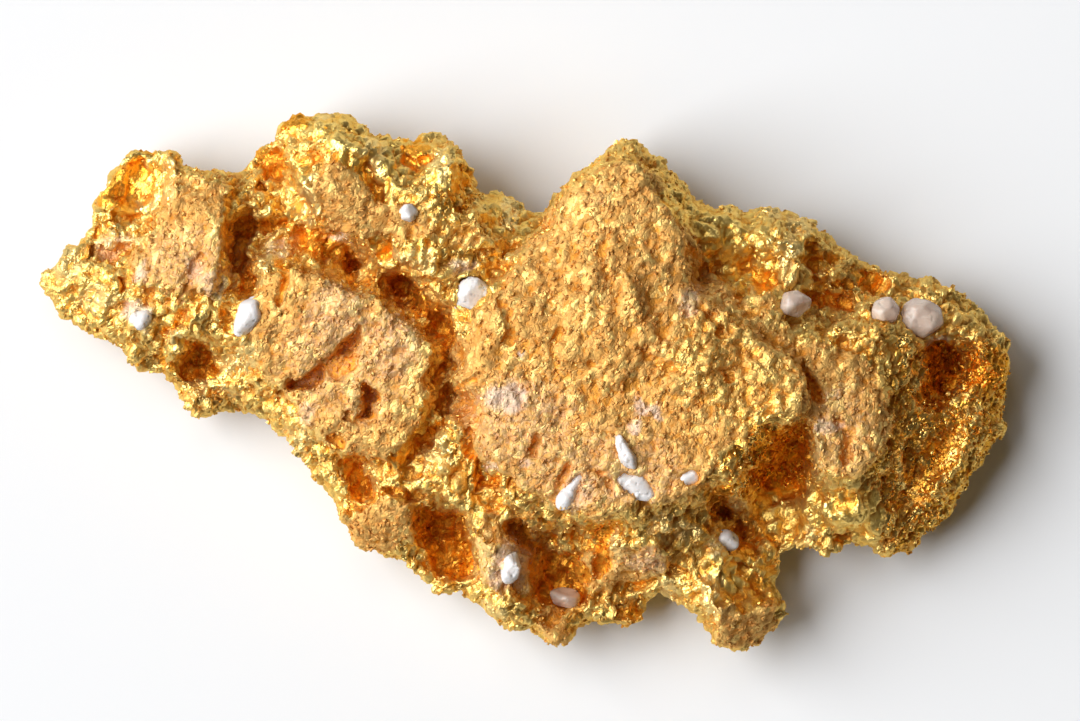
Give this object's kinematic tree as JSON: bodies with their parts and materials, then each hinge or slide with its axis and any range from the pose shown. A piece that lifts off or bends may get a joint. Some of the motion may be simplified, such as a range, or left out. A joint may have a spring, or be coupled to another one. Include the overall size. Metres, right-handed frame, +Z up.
{
  "type": "gold nugget",
  "caption": "Flat, craggy nugget of native gold with ledges, pits and grains of quartz set in it, lying on its worn underside.",
  "frame": {"origin": "under the middle of the nugget's length and width, on the surface it rests on", "axes": "+X along the nugget towards its rounded end, +Y across it towards its peak, +Z up from the surface it rests on"},
  "size_m": [0.04, 0.0222, 0.0087],
  "materials": {
    "gold": "native gold, matt and crumbly on the ledges and bright on lumps and edges",
    "milky_quartz": "white, faintly translucent, freshly broken",
    "clear_quartz": "smoky rose, translucent, water-worn"
  },
  "bodies": {
    "root": {"gold": "gold", "quartz_pebble_large": "clear_quartz", "quartz_pebble_small": "clear_quartz", "quartz_pebble_upper": "clear_quartz", "quartz_white_left": "milky_quartz", "quartz_white_middle": "milky_quartz", "quartz_crown": "milky_quartz", "quartz_wedge": "milky_quartz", "quartz_lens": "milky_quartz", "quartz_lower": "milky_quartz", "quartz_edge": "milky_quartz", "quartz_basin": "clear_quartz", "quartz_recess": "milky_quartz", "quartz_tip": "milky_quartz", "quartz_block": "milky_quartz"}
  },
  "joints": []
}
